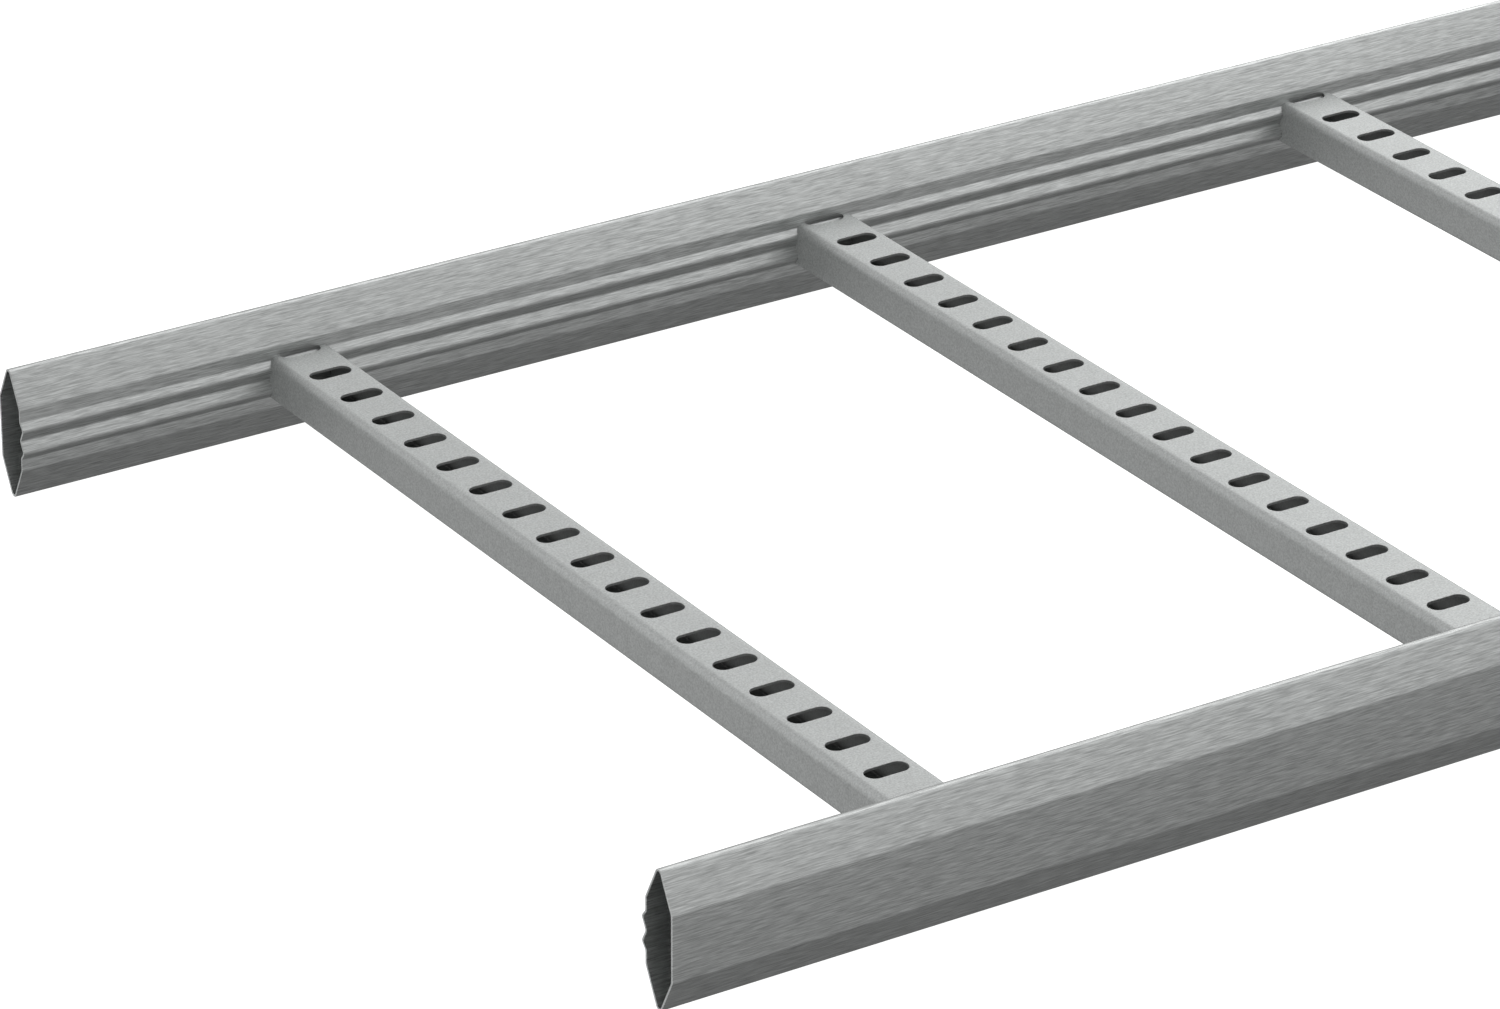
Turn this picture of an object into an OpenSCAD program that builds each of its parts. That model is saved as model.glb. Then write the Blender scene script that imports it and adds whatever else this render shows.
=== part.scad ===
// Cable ladder section: two closed side rails of thin rolled sheet, joined by slotted rungs that are
// lipped channels.
// X runs along the rails, Y across the ladder, Z up. The origin is on the floor below the middle.

/* [Ladder] */
// Length of the section
ladder_l = 3000; // [1000:50:6000]
// Width over the outer flanks of the two side rails
ladder_w = 500; // [200:10:1000]
// Distance from one rung to the next
rung_pitch = 250; // [200:10:500]

/* [Side rail] */
// Height of a rail over its rolled crests
rail_h = 55; // [50:1:90]
// Width of a rail over its two upright flanks
rail_w = 17.6; // [14:0.2:20]
// Sheet thickness of a rail
rail_t = 0.9; // [0.6:0.1:1.5]
// Lean of the rail's upper and lower faces from upright, in degrees
rail_lean = 27.3; // [24:0.1:36]
// Outside radius of the top and bottom crests
crest_r = 2.3; // [1.8:0.1:4]
// Outside radius of the bends between the upright flanks and the leaning faces
knee_r = 2; // [1.8:0.1:4]

/* [Ridges on the inner flank] */
// How far a ridge stands out from the inner flank
ridge_h = 2.1; // [1:0.1:2.4]
// Distance between the crests of the two ridges
ridge_pitch = 9.1; // [8:0.1:10]
// Height on the rail from a crest to the foot of its outer side
ridge_foot = 3.1; // [2.8:0.1:3.6]
// Outside radius of a ridge's crest
ridge_r = 1.9; // [1.6:0.1:2.1]
// Outside radius of a ridge's foot
ridge_foot_r = 0.9; // [0.6:0.1:1.1]
// How far the pair of ridges lies below the middle of the rail
ridge_drop = 0.45; // [0:0.05:1.5]

/* [Rung] */
// Width of a rung along the rails
rung_w = 28; // [26:1:60]
// Height of a rung
rung_h = 18; // [14:0.2:20]
// Sheet thickness of a rung
rung_t = 1.2; // [0.8:0.1:1.6]
// Outside radius of a rung's two upper bends
rung_r = 3.5; // [2.5:0.1:4]
// Width of each lip that turns in below a rung
lip_w = 6.5; // [4:0.5:8]
// Outside radius of the bends between a rung's sides and its lips
lip_r = 1.8; // [1.7:0.1:3]
// Height of the rungs' top face above the floor
rung_top = 36.3; // [30:0.1:45]

/* [Slots in the rungs] */
// Length of a slot, along the rails
slot_l = 18; // [12:0.5:19]
// Width of a slot
slot_w = 8; // [5:0.5:12]
// Distance from one slot to the next
slot_pitch = 25; // [15:1:50]
// Least sheet between the last slot and the near rail
slot_end = 8; // [4:1:20]

/* [Hidden] */
$fn = 48;
arc_step = 9;                                  // degrees turned by one chord of a rolled bend
past = 1;                                      // how far a cut runs past the sheet that it opens

rail_y = (ladder_w - rail_w) / 2;              // centre line of each rail
inner_w = ladder_w - 2 * rail_w;               // clear width between the inner flanks
rung_count = floor(ladder_l / rung_pitch);
first_x = -(rung_count - 1) * rung_pitch / 2;  // the first rung's centre line
slot_count = floor((inner_w - slot_end - slot_w / 2) / slot_pitch);

ridge_mid = rail_h / 2 - ridge_drop;           // valley between the two ridges

// Height of the upper knee's centre, where its arc meets both the flank and the leaning face
knee_z = rail_h - crest_r
       + (crest_r - knee_r - cos(rail_lean) * (rail_w / 2 - knee_r)) / sin(rail_lean);

function rung_name(i) = str("rung_", i < 10 ? "0" : "", i);

// Points along an arc round (y, z), from angle a to angle b
function arc(y, z, r, a, b) =
    let (n = max(2, ceil(abs(b - a) / arc_step)))
    [for (i = [0 : n]) let (t = a + (b - a) * i / n) [y + r * cos(t), z + r * sin(t)]];

// Lean of a ridge's side from upright: the line that touches its crest and its foot, which lie
// w apart in height
function side_lean(w) =
    let (r = ridge_r + ridge_foot_r, gap = r - ridge_h)
    atan2(w, gap) - acos(r / norm([gap, w]));

// One ridge at height z, upwards: foot, crest, foot. Its sides reach down by low and up by high.
// Its feet bend the other way, so a face that lies d inside the outer one has tighter crests
// and wider feet
function ridge(z, low, high, d) =
    let (y = rail_w / 2, a = side_lean(low), b = side_lean(high))
    concat(
        arc(y + ridge_foot_r, z - low, ridge_foot_r + d, 180, 180 - a),
        arc(y + ridge_h - ridge_r, z, ridge_r - d, -a, b),
        arc(y + ridge_foot_r, z + high, ridge_foot_r + d, 180 + b, 180));

// The rail's outline, d inside its outer face, anticlockwise from the bottom crest
function rail_outline(d) =
    let (y = rail_w / 2 - knee_r, a = rail_lean)
    concat(
        arc(0, crest_r, crest_r - d, 180 + a, 360 - a),
        arc(y, rail_h - knee_z, knee_r - d, -a, 0),
        ridge(ridge_mid - ridge_pitch / 2, ridge_foot, ridge_pitch / 2, d),
        ridge(ridge_mid + ridge_pitch / 2, ridge_pitch / 2, ridge_foot, d),
        arc(y, knee_z, knee_r - d, 0, a),
        arc(0, rail_h - crest_r, crest_r - d, a, 180 - a),
        arc(-y, knee_z, knee_r - d, 180 - a, 180),
        arc(-y, rail_h - knee_z, knee_r - d, 180, 180 + a));

// Runs a section drawn in Y and Z along the ladder, centred on x
module along_x(x, l) {
    translate([x - l / 2, 0, 0]) rotate([90, 0, 90]) linear_extrude(l) children();
}

// Side rail at the near side, its ridges facing the rungs
module rail_near() {
    color("darkgray")
    translate([0, -rail_y, 0])
    along_x(0, ladder_l)
    difference() {
        polygon(rail_outline(0));
        polygon(rail_outline(rail_t));
    }
}

module rail_far() {
    mirror([0, 1, 0]) rail_near();
}

// The space that both rails fill, hollows included, beside one rung
module rail_space(x) {
    for (side = [0, 1])
        mirror([0, side, 0])
        translate([0, -rail_y, 0])
        along_x(x, rung_w + 2 * past)
        polygon(rail_outline(0));
}

// A bar's outline, its top at height 0 and its two pairs of corners rounded
module bar_outline(w, h, top_r, low_r) {
    translate([-w / 2, low_r - h]) square([w, h - top_r - low_r]);
    translate([top_r - w / 2, -top_r]) square([w - 2 * top_r, top_r]);
    translate([low_r - w / 2, -h]) square([w - 2 * low_r, low_r]);
    for (side = [-1, 1]) {
        translate([side * (w / 2 - top_r), -top_r]) circle(top_r);
        translate([side * (w / 2 - low_r), low_r - h]) circle(low_r);
    }
}

// Lipped channel, open below
module rung_section() {
    mouth = rung_w - 2 * lip_w;
    difference() {
        bar_outline(rung_w, rung_h, rung_r, lip_r);
        translate([0, -rung_t])
        bar_outline(rung_w - 2 * rung_t, rung_h - 2 * rung_t, rung_r - rung_t, lip_r - rung_t);
        translate([-mouth / 2, -rung_h - past]) square([mouth, rung_t + 2 * past]);
    }
}

// Slot through the top of a rung, long way along the rails
module slot() {
    straight = slot_l - slot_w;
    translate([0, 0, -rung_t - past])
    linear_extrude(rung_t + 2 * past) {
        square([straight, slot_w], center = true);
        for (x = [-straight / 2, straight / 2])
            translate([x, 0]) circle(slot_w / 2);
    }
}

// The row of slots starts in the joint with the far rail, which leaves half a slot there
module slot_row() {
    for (i = [0 : slot_count])
        translate([0, inner_w / 2 - i * slot_pitch, 0]) slot();
}

// Rung with its ends cut to the shape of the inner flanks and their ridges
module rung(x) {
    color("lightgray")
    difference() {
        translate([x, 0, rung_top])
        difference() {
            rotate([90, 0, 0]) linear_extrude(2 * rail_y, center = true) rung_section();
            slot_row();
        }
        rail_space(x);
    }
}

rail_near();
rail_far();
for (i = [1 : rung_count])
    rung(first_x + (i - 1) * rung_pitch);
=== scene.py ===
from math import acos, atan2, ceil, cos, degrees, hypot, radians, sin

import bpy
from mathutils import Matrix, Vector


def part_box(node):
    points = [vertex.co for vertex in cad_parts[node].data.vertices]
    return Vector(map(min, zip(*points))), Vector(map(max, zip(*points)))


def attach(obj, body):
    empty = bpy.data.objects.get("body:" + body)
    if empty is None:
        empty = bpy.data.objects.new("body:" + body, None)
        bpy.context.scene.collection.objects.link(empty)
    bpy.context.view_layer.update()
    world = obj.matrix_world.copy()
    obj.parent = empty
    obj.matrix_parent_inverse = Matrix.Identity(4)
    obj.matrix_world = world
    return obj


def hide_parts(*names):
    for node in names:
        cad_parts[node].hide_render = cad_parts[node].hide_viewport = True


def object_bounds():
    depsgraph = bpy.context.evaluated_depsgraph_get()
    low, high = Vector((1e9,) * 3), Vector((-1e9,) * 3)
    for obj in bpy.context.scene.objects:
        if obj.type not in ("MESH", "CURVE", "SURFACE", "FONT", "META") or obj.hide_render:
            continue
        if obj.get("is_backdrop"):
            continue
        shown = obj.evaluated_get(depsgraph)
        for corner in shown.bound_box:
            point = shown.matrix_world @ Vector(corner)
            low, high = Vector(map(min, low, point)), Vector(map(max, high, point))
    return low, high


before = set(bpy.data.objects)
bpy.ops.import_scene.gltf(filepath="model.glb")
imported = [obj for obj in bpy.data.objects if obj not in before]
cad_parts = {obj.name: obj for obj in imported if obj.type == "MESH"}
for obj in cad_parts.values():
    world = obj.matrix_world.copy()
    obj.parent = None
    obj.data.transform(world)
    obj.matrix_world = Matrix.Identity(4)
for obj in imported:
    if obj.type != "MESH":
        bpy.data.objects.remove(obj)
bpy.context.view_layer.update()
print("frame loaded:", len(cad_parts), "nodes")

mm = 0.001
up = Vector((0, 0, 1))
foldAngle = radians(60)    # sheet edges sharper than this are broken
smoothAngle = radians(25)  # faces that meet at less than this shade as one


# Working on pieces

def workOn(piece, mode="OBJECT"):
    if bpy.context.mode != "OBJECT":
        bpy.ops.object.mode_set(mode="OBJECT")
    bpy.ops.object.select_all(action="DESELECT")
    piece.select_set(True)
    bpy.context.view_layer.objects.active = piece
    if mode == "EDIT":
        bpy.ops.object.mode_set(mode="EDIT")


def useModifier(piece, kind, **settings):
    workOn(piece)
    modifier = piece.modifiers.new(kind.title(), kind)
    for setting, value in settings.items():
        setattr(modifier, setting, value)
    bpy.ops.object.modifier_apply(modifier=modifier.name)


def cutAway(piece, cutter):
    useModifier(piece, "BOOLEAN", object=cutter, operation="DIFFERENCE", solver="EXACT")
    bpy.data.objects.remove(cutter)


def copyOf(piece, name, shift=(0, 0, 0), turn=0):
    # a copy with its own mesh, moved in edit mode, so that its object stays at the origin
    workOn(piece)
    bpy.ops.object.duplicate()
    copied = bpy.context.object
    copied.name = copied.data.name = name
    workOn(copied, "EDIT")
    bpy.ops.mesh.select_all(action="SELECT")
    if turn:
        bpy.ops.transform.rotate(value=turn, orient_axis="Z", center_override=(0, 0, 0))
    bpy.ops.transform.translate(value=shift)
    workOn(copied)
    return copied


# Steel finishes

def addNode(tree, kind, joins=None, **settings):
    # settings are the node's own, joins its inputs: a socket to link or a value
    node = tree.nodes.new("ShaderNode" + kind)
    for setting, value in settings.items():
        setattr(node, setting, value)
    for name, value in (joins or {}).items():
        if isinstance(value, bpy.types.NodeSocket):
            tree.links.new(value, node.inputs[name])
        else:
            node.inputs[name].default_value = value
    return node


def newSteel(name, roughness):
    material = bpy.data.materials.new(name)
    material.use_nodes = True
    shader = material.node_tree.nodes["Principled BSDF"]
    shader.inputs["Metallic"].default_value = 1
    shader.inputs["Roughness"].default_value = roughness
    return material, material.node_tree, shader


def grey(level, tint=(1, 1, 1)):
    return (*(level * share for share in tint), 1)


patternSpan = (0.3, 0.7)  # a noise pattern hardly leaves this part of 0 to 1


def addPatterns(tree, shader, level, finish, fine, broad):
    # lightens and darkens the steel by both patterns, and sinks the fine one into its surface:
    # the broad one varies round 1, the fine one round 0, and they are added
    spreads = []
    for pattern, middle, share in (
        (fine, 0, finish["fineShare"]),
        (broad, 1, finish["broadShare"]),
    ):
        spread = addNode(tree, "MapRange", {
            "Value": pattern, "From Min": patternSpan[0], "From Max": patternSpan[1],
            "To Min": middle - share, "To Max": middle + share,
        })
        spreads.append(spread.outputs["Result"])
    tone = addNode(tree, "Math", {0: spreads[0], 1: spreads[1]}, operation="ADD")
    steel = {0: grey(level, finish["tint"])[:3], "Scale": tone.outputs["Value"]}
    colour = addNode(tree, "VectorMath", steel, operation="SCALE")
    tree.links.new(colour.outputs["Vector"], shader.inputs["Base Color"])
    relief = addNode(tree, "Bump", {
        "Height": fine, "Strength": finish["reliefStrength"], "Distance": finish["reliefDepth"],
    })
    tree.links.new(relief.outputs["Normal"], shader.inputs["Normal"])


railFinish = {
    "level": 0.50,
    "tint": (0.975, 1, 0.99),
    "cutLevel": 0.85,                 # bare steel at the sawn ends
    "hollowLevel": 0.72,              # painted light: the inside of the tube made lighter than the outside steel
    "roughness": 0.42,
    "fineStreak": (115, 2300, 2300),  # streaks per metre along X, Y and Z
    "broadStreak": (40, 330, 330),
    "streakDetail": 3,                # finer lines added to each streak
    "streakRoughness": 0.6,           # how strong these are
    "wander": 0.2 * mm,               # how far a streak strays sideways
    "wanderScale": 40,                # bends per metre in its path
    "wanderDetail": 1,
    "fineShare": 0.32,
    "broadShare": 0.012,
    "reliefDepth": 0.02 * mm,
    "reliefStrength": 0.5,
}


def railSteel(name, level):
    finish = railFinish
    material, tree, shader = newSteel(name, finish["roughness"])
    place = addNode(tree, "TexCoord").outputs["Object"]
    stray = addNode(tree, "TexNoise", {
        "Vector": place, "Scale": finish["wanderScale"], "Detail": finish["wanderDetail"],
    })
    sideways = {0: stray.outputs["Color"], 1: (0, finish["wander"], finish["wander"])}
    shift = addNode(tree, "VectorMath", sideways, operation="MULTIPLY")
    path = addNode(tree, "VectorMath", {0: place, 1: shift.outputs["Vector"]}, operation="ADD")
    streaks = []
    for size in ("fineStreak", "broadStreak"):
        drawn = addNode(tree, "Mapping", {"Vector": path.outputs["Vector"], "Scale": finish[size]})
        noise = addNode(tree, "TexNoise", {
            "Vector": drawn.outputs["Vector"], "Scale": 1, "Detail": finish["streakDetail"],
            "Roughness": finish["streakRoughness"],
        })
        streaks.append(noise.outputs["Fac"])
    addPatterns(tree, shader, level, finish, *streaks)
    return material


rungFinish = {
    "level": 0.61,
    "insideLevel": 0.28,  # painted shade: the inside of the channel made darker than the outside steel
    "punchLevel": 0.38,   # the slots' walls, made darker than the rung's steel: painted shade
    "tint": (0.975, 1, 0.99),
    "roughness": 0.6,
    "grain": 1300,        # specks per metre
    "cloud": 160,
    "grainDetail": 2,
    "fineShare": 0.14,
    "broadShare": 0.02,
    "reliefDepth": 0.02 * mm,
    "reliefStrength": 0.3,
}


def rungSteel(name, level):
    finish = rungFinish
    material, tree, shader = newSteel(name, finish["roughness"])
    place = addNode(tree, "TexCoord").outputs["Object"]
    specks = []
    for size in ("grain", "cloud"):
        noise = addNode(tree, "TexNoise", {
            "Vector": place, "Scale": finish[size], "Detail": finish["grainDetail"],
        })
        specks.append(noise.outputs["Fac"])
    addPatterns(tree, shader, level, finish, *specks)
    return material


railMaterial = railSteel("railSteel", railFinish["level"])
railCut = railSteel("railCut", railFinish["cutLevel"])
# the tube's inside gets this lighter steel: painted light
railHollow = railSteel("railHollow", railFinish["hollowLevel"])
rungMaterial = rungSteel("rungSteel", rungFinish["level"])
# the channel's inside gets this darker steel: painted shade
rungInside = rungSteel("rungInside", rungFinish["insideLevel"])
# the slots' walls get this darker steel: painted shade
rungPunch = rungSteel("rungPunch", rungFinish["punchLevel"])
rungFinishes = (rungMaterial, rungInside, rungPunch)
print("steel finished")


# Drawing a sheet's section with a pen: straight lines from bend to bend

penDetail = {
    "chord": radians(7.5),  # turned by one step of a bend
    "touching": 1e-7,       # bends nearer than this meet without a line between them
}


def bendPoint(bend, angle):
    side, height, radius = bend[:3]
    turn = radians(angle)
    return Vector((side + radius * cos(turn), height + radius * sin(turn)))


def drawSection(name, bends, origin, across, closed=False):
    # a bend is (side, height, radius, first angle, last angle), in the plane of across and up
    def inSpace(point):
        return origin + across * point[0] + up * point[1]

    def drawLine(step):
        travel = {"value": across * step[0] + up * step[1]}
        bpy.ops.mesh.extrude_vertices_move(TRANSFORM_OT_translate=travel)

    pen = bendPoint(bends[0], bends[0][3])
    bpy.ops.object.select_all(action="DESELECT")
    bpy.ops.mesh.primitive_plane_add(size=mm, location=inSpace(pen))
    piece = bpy.context.object
    piece.name = piece.data.name = name
    bpy.ops.object.transform_apply(location=True)
    workOn(piece, "EDIT")
    bpy.ops.mesh.select_mode(type="VERT")
    bpy.ops.mesh.select_all(action="SELECT")
    bpy.ops.mesh.merge(type="CENTER")
    for bend in bends:
        step = bendPoint(bend, bend[3]) - pen
        if step.length > penDetail["touching"]:
            drawLine(step)
        sweep = radians(bend[4] - bend[3])
        if sweep:
            bpy.ops.mesh.spin(
                steps=max(2, ceil(abs(sweep) / penDetail["chord"])),
                angle=-sweep,  # spin turns the other way round
                center=inSpace(bend),
                axis=across.cross(up),
            )
        pen = bendPoint(bend, bend[4])
    if closed:
        drawLine(bendPoint(bends[0], bends[0][3]) - pen)
        bpy.ops.mesh.select_all(action="SELECT")
        bpy.ops.mesh.remove_doubles(threshold=penDetail["touching"])
    return piece


def pullOut(piece, travel):
    # pulls the drawn section out into a sheet
    workOn(piece, "EDIT")
    bpy.ops.mesh.select_mode(type="EDGE")
    bpy.ops.mesh.select_all(action="SELECT")
    bpy.ops.mesh.extrude_edges_move(TRANSFORM_OT_translate={"value": travel})
    bpy.ops.mesh.select_all(action="SELECT")
    bpy.ops.mesh.normals_make_consistent(inside=False)
    workOn(piece)


# Side rails

rail = {
    "width": 17.6 * mm,
    "sheet": 0.9 * mm,
    "lean": 27.3,             # of the upper and lower faces from upright, in degrees
    "crestRadius": 2.3 * mm,
    "kneeRadius": 2.0 * mm,
    "ridgeHeight": 2.1 * mm,
    "ridgePitch": 9.3 * mm,
    "ridgeFoot": 3.5 * mm,    # from a ridge's crest to the foot of its outer side
    "ridgeRadius": 1.9 * mm,
    "ridgeFootRadius": 0.9 * mm,
    "ridgeDrop": 0.15 * mm,   # of the pair of ridges below the rail's middle
    "brokenEdge": 0.12 * mm,  # at the sawn ends
}
railLow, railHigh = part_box("rail_near")
railHeight = railHigh.z - railLow.z
railLine = railLow.y + rail["width"] / 2  # the near rail's centre line


def ridgeLean(reach):
    # the lean of a ridge's side, a line that touches its crest and its foot, reach apart in height
    radii = rail["ridgeRadius"] + rail["ridgeFootRadius"]
    gap = radii - rail["ridgeHeight"]
    return degrees(atan2(reach, gap) - acos(radii / hypot(gap, reach)))


def ridgeBends(height, below, above):
    flank = rail["width"] / 2
    foot = rail["ridgeFootRadius"]
    crest = flank + rail["ridgeHeight"] - rail["ridgeRadius"]
    return [
        (flank + foot, height - below, foot, 180, 180 - ridgeLean(below)),
        (crest, height, rail["ridgeRadius"], -ridgeLean(below), ridgeLean(above)),
        (flank + foot, height + above, foot, 180 + ridgeLean(above), 180),
    ]


def railBends():
    lean = rail["lean"]
    crest, knee = rail["crestRadius"], rail["kneeRadius"]
    side = rail["width"] / 2 - knee
    rise = (crest - knee - cos(radians(lean)) * side) / sin(radians(lean))
    kneeTop = railHeight - crest + rise
    kneeLow = railHeight - kneeTop
    middle = railHeight / 2 - rail["ridgeDrop"]
    half = rail["ridgePitch"] / 2
    return [
        (0, crest, crest, 180 + lean, 360 - lean),
        (side, kneeLow, knee, -lean, 0),
        *ridgeBends(middle - half, rail["ridgeFoot"], half),
        *ridgeBends(middle + half, half, rail["ridgeFoot"]),
        (side, kneeTop, knee, 0, lean),
        (0, railHeight - crest, crest, lean, 180 - lean),
        (-side, kneeTop, knee, 180 - lean, 180),
        (-side, kneeLow, knee, 180, 180 + lean),
    ]


def makeRail(name):
    start = Vector((railLow.x, railLine, railLow.z))
    piece = drawSection(name, railBends(), start, Vector((0, 1, 0)), closed=True)
    pullOut(piece, (railHigh.x - railLow.x, 0, 0))
    for finish in (railMaterial, railCut, railHollow):
        piece.data.materials.append(finish)
    # the rim gets the sawn-end steel, and the inner shell gets the lighter hollow steel, which is
    # painted light inside the tube
    useModifier(
        piece, "SOLIDIFY", thickness=rail["sheet"], offset=-1, use_even_offset=True,
        material_offset_rim=1, material_offset=2,
    )
    useModifier(piece, "BEVEL", width=rail["brokenEdge"], segments=1, angle_limit=foldAngle)
    return piece


# Rungs

rung = {
    "sheet": 1.2 * mm,
    "bendRadius": 3.5 * mm,
    "lipWidth": 6.5 * mm,
    "lipRadius": 1.8 * mm,    # of the bends between the sides and the lips
    "slotLength": 18 * mm,
    "slotWidth": 8 * mm,
    "slotPitch": 25 * mm,
    "slotEnd": 8 * mm,        # least sheet between the last slot and the near rail
    "slotPoints": 48,         # round a slot's two ends
    "brokenEdge": 0.12 * mm,  # round the slots and along the lips
    "past": 1 * mm,           # how far a cutter runs past the sheet
}
rungLow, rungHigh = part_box("rung_01")
rungMiddle = (rungLow + rungHigh) / 2
innerFlank = -railLine - rail["width"] / 2  # of the far rail


def rungBends():
    side = (rungHigh.x - rungLow.x) / 2
    radius, lip = rung["bendRadius"], rung["lipRadius"]
    height = rungHigh.z - rungLow.z
    return [
        (side - rung["lipWidth"], 0, 0, 0, 0),
        (side - lip, lip, lip, -90, 0),
        (side - radius, height - radius, radius, 0, 90),
        (radius - side, height - radius, radius, 90, 180),
        (lip - side, lip, lip, 180, 270),
        (rung["lipWidth"] - side, 0, 0, 0, 0),
    ]


def makeSlotCutter():
    # one round bar, split and spread to a slot, then set in a row from the far flank
    radius = rung["slotWidth"] / 2
    bpy.ops.object.select_all(action="DESELECT")
    bpy.ops.mesh.primitive_cylinder_add(
        vertices=rung["slotPoints"],
        radius=radius,
        depth=2 * (rung["sheet"] + rung["past"]),
        location=(rungMiddle.x, innerFlank, rungHigh.z),
        rotation=(0, 0, radians(180 / rung["slotPoints"])),
    )
    cutter = bpy.context.object
    bpy.ops.object.transform_apply(location=True, rotation=True)
    for finish in rungFinishes:
        cutter.data.materials.append(finish)
    # the slot walls take the darker steel: painted shade
    for face in cutter.data.polygons:
        face.material_index = rungFinishes.index(rungPunch)
    for way in (-1, 1):
        workOn(cutter, "EDIT")
        bpy.ops.mesh.select_mode(type="VERT")
        bpy.ops.mesh.select_all(action="DESELECT")
        bpy.ops.object.mode_set(mode="OBJECT")
        for point in cutter.data.vertices:
            point.select = (point.co.x - rungMiddle.x) * way > 0
        bpy.ops.object.mode_set(mode="EDIT")
        bpy.ops.transform.translate(value=(way * (rung["slotLength"] / 2 - radius), 0, 0))
    usable = 2 * innerFlank - rung["slotEnd"] - radius  # from the first slot's centre to the last's
    useModifier(
        cutter, "ARRAY", count=1 + int(usable / rung["slotPitch"]),
        use_relative_offset=False, use_constant_offset=True,
        constant_offset_displace=(0, -rung["slotPitch"], 0),
    )
    return cutter


def makeRailCore():
    # the space that the near rail fills beside one rung, hollow included
    start = Vector((rungLow.x - rung["past"], railLine, railLow.z))
    core = drawSection("railCore", railBends(), start, Vector((0, 1, 0)), closed=True)
    bpy.ops.mesh.edge_face_add()
    bpy.ops.mesh.extrude_region_move(
        TRANSFORM_OT_translate={"value": (rungHigh.x - rungLow.x + 2 * rung["past"], 0, 0)}
    )
    bpy.ops.mesh.select_all(action="SELECT")
    bpy.ops.mesh.normals_make_consistent(inside=False)
    workOn(core)
    return core


def makeRung(name):
    start = Vector((rungMiddle.x, railLine, rungLow.z))
    piece = drawSection(name, rungBends(), start, Vector((1, 0, 0)))
    pullOut(piece, (0, -2 * railLine, 0))
    for finish in rungFinishes:
        piece.data.materials.append(finish)
    # the inner shell gets the darker inside steel: painted shade inside the channel
    useModifier(
        piece, "SOLIDIFY", thickness=rung["sheet"], offset=-1, use_even_offset=True,
        material_offset=1,
    )
    nearCore = makeRailCore()
    farCore = copyOf(nearCore, "farCore", (2 * rungMiddle.x, 0, 0), radians(180))
    cutAway(piece, makeSlotCutter())
    useModifier(piece, "BEVEL", width=rung["brokenEdge"], segments=1, angle_limit=foldAngle)
    cutAway(piece, nearCore)
    cutAway(piece, farCore)
    return piece


nearRail = makeRail("sideRailNear")
farRail = copyOf(nearRail, "sideRailFar", turn=radians(180))
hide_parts("rail_near")
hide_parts("rail_far")
print("rails made")

firstRung = makeRung("rung01")
rungs = [firstRung]
for node in sorted(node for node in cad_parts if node.startswith("rung_"))[1:]:
    low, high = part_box(node)
    rungs.append(copyOf(firstRung, node.replace("_", ""), (low + high) / 2 - rungMiddle))
for piece in rungs:
    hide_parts(piece.name.replace("rung", "rung_"))
print("rungs made:", len(rungs))

for piece in (nearRail, farRail, *rungs):
    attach(piece, "root")
    workOn(piece)
    bpy.ops.object.shade_smooth_by_angle(angle=smoothAngle)


# Studio: a pale floor with a round cove far off, and a soft dome of light

studio = {
    "floorRadius": 70,
    "coveRadius": 25,
    "floorSteps": 96,   # round the floor
    "floorGlow": 1.0,
    "floorTone": 0.6,
    "sky": 0.22,        # the dome's even level
    "skyGlows": [       # added glows: towards, tightness, level
        ((-1, 0, 0), 3, 0.42),
        ((0, -1, 0), 3, 0.40),
        ((0.48, -0.79, 0.37), 10, 0.43),
        ((0.48, -0.43, 0.76), 20, 0.90),
        ((0.48, 0.10, 0.86), 45, 2.4),
        ((0.48, 0.40, 0.78), 20, 1.2),
        ((0.48, 0.76, 0.43), 8, 0.42),
        ((-0.40, 0.76, 0.50), 14, 0.90),
        ((-0.65, 0.76, 0.00), 8, 0.33),
    ],
    "lampSize": 0.8,
    "lampTarget": (-1.0, 0, 0),
    "lamps": {          # place and power in watts
        "frontLamp": ((0.1, -0.9, 0.9), 1.2),
        "backLamp": ((0.2, 1.0, 0.9), 3.0),
    },
}


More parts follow.
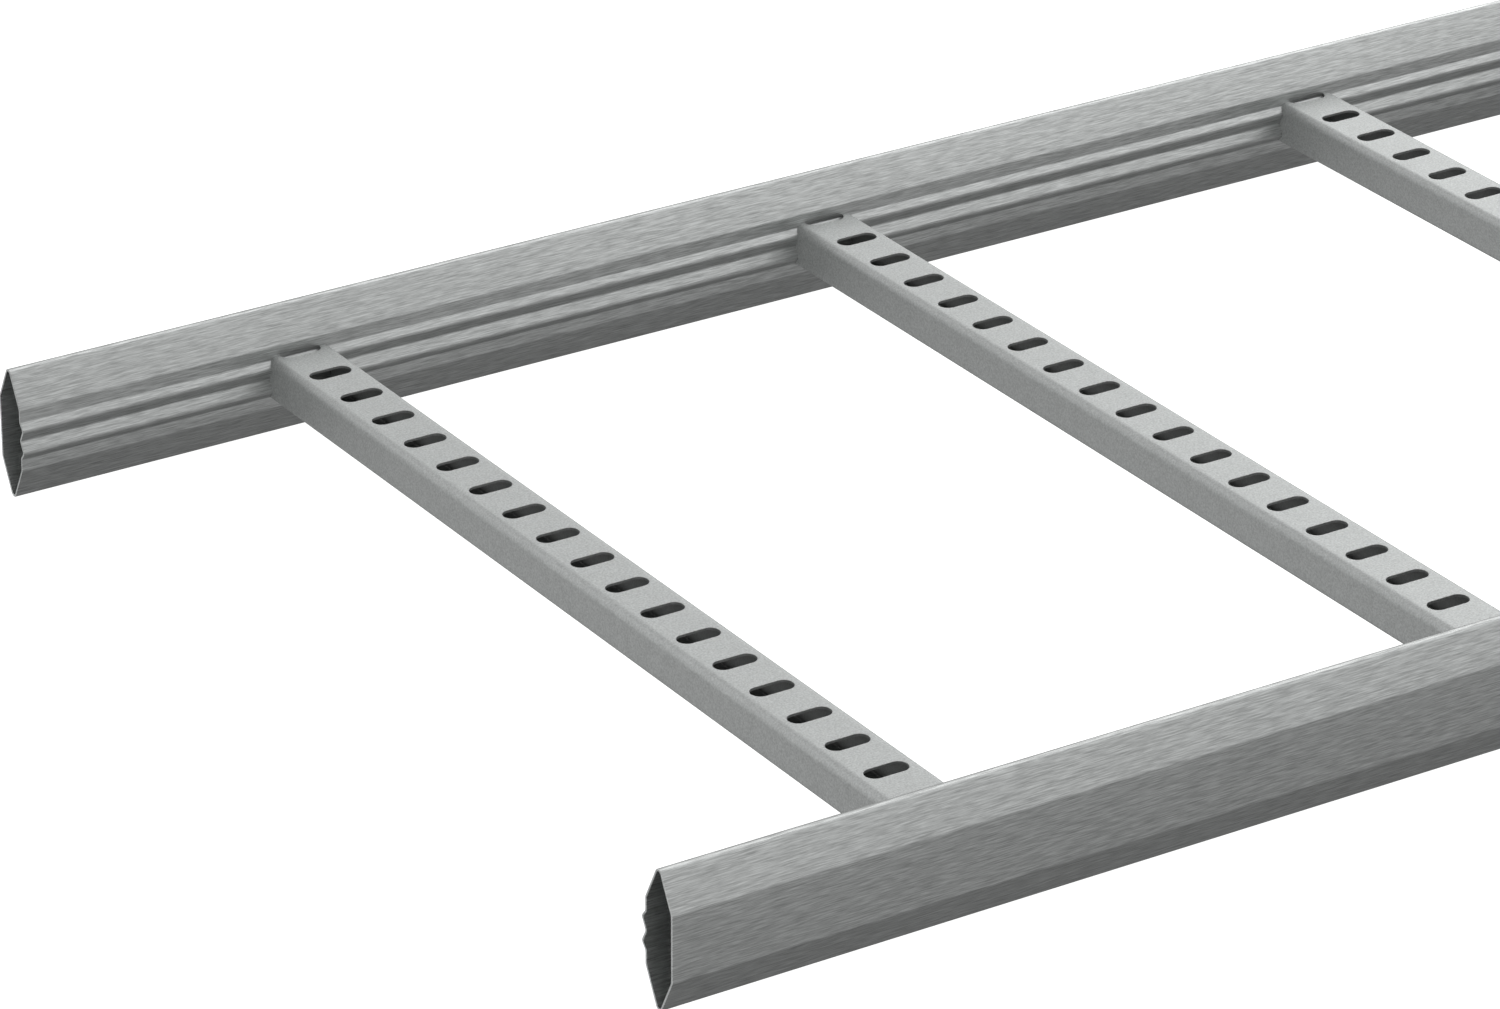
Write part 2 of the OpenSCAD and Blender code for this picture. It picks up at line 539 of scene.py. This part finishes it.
def makeFloor():
    # floor, cove and wall in one line from the middle out, spun round
    flat, cove = studio["floorRadius"], studio["coveRadius"]
    bends = [(0, 0, 0, 0, 0), (flat, cove, cove, -90, 0), (flat + cove, 2 * cove, 0, 0, 0)]
    floor = drawSection("studioFloor", bends, Vector(), Vector((1, 0, 0)))
    bpy.ops.mesh.select_all(action="SELECT")
    bpy.ops.mesh.spin(steps=studio["floorSteps"], angle=radians(360), center=(0, 0, 0), axis=up)
    bpy.ops.mesh.select_all(action="SELECT")
    bpy.ops.mesh.remove_doubles(threshold=mm)
    bpy.ops.mesh.normals_make_consistent(inside=True)
    workOn(floor)
    bpy.ops.object.shade_smooth()
    material = bpy.data.materials.new("paleFloor")
    material.use_nodes = True
    shader = material.node_tree.nodes["Principled BSDF"]
    shader.inputs["Base Color"].default_value = grey(studio["floorTone"])
    shader.inputs["Roughness"].default_value = 1
    shader.inputs["Specular IOR Level"].default_value = 0
    shader.inputs["Emission Color"].default_value = (1, 1, 1, 1)
    shader.inputs["Emission Strength"].default_value = studio["floorGlow"]
    floor.data.materials.append(material)
    floor.visible_diffuse = floor.visible_glossy = floor.visible_shadow = False
    floor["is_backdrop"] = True


def makeSky():
    world = bpy.data.worlds.new("softSky")
    world.use_nodes = True
    bpy.context.scene.world = world
    tree = world.node_tree
    way = addNode(tree, "TexCoord").outputs["Generated"]
    total = studio["sky"]
    for towards, tightness, level in studio["skyGlows"]:
        aim = {0: way, 1: Vector(towards).normalized()}
        facing = addNode(tree, "VectorMath", aim, operation="DOT_PRODUCT").outputs["Value"]
        ahead = addNode(tree, "Math", {0: facing, 1: 0}, operation="MAXIMUM").outputs["Value"]
        glow = addNode(tree, "Math", {0: ahead, 1: tightness}, operation="POWER").outputs["Value"]
        sums = {0: glow, 1: level, 2: total}
        total = addNode(tree, "Math", sums, operation="MULTIPLY_ADD").outputs["Value"]
    tree.links.new(total, tree.nodes["Background"].inputs["Color"])


def makeLamps():
    for name, (place, power) in studio["lamps"].items():
        towards = Vector(studio["lampTarget"]) - Vector(place)
        aim = towards.to_track_quat("-Z", "Y").to_euler()
        bpy.ops.object.light_add(type="AREA", location=place, rotation=aim)
        lamp = bpy.context.object
        lamp.name = lamp.data.name = name
        lamp.data.size = studio["lampSize"]
        lamp.data.energy = power
        lamp.visible_camera = False


photoView = {
    "place": (-2.5978, -2.0184, 1.1932),
    "turn": (64.392, -0.115, -32.493),  # in degrees
    "lens": 168.32,
    "reach": 300,                       # past the studio's wall
}


def makeCamera():
    camera = bpy.data.objects.new("camera", bpy.data.cameras.new("camera"))
    bpy.context.scene.collection.objects.link(camera)
    camera.location = photoView["place"]
    camera.rotation_euler = [radians(angle) for angle in photoView["turn"]]
    camera.data.lens = photoView["lens"]
    camera.data.clip_end = photoView["reach"]
    bpy.context.scene.camera = camera


makeFloor()
makeSky()
makeLamps()
makeCamera()
bpy.context.scene.view_settings.view_transform = "Standard"
print("studio set")

low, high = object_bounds()
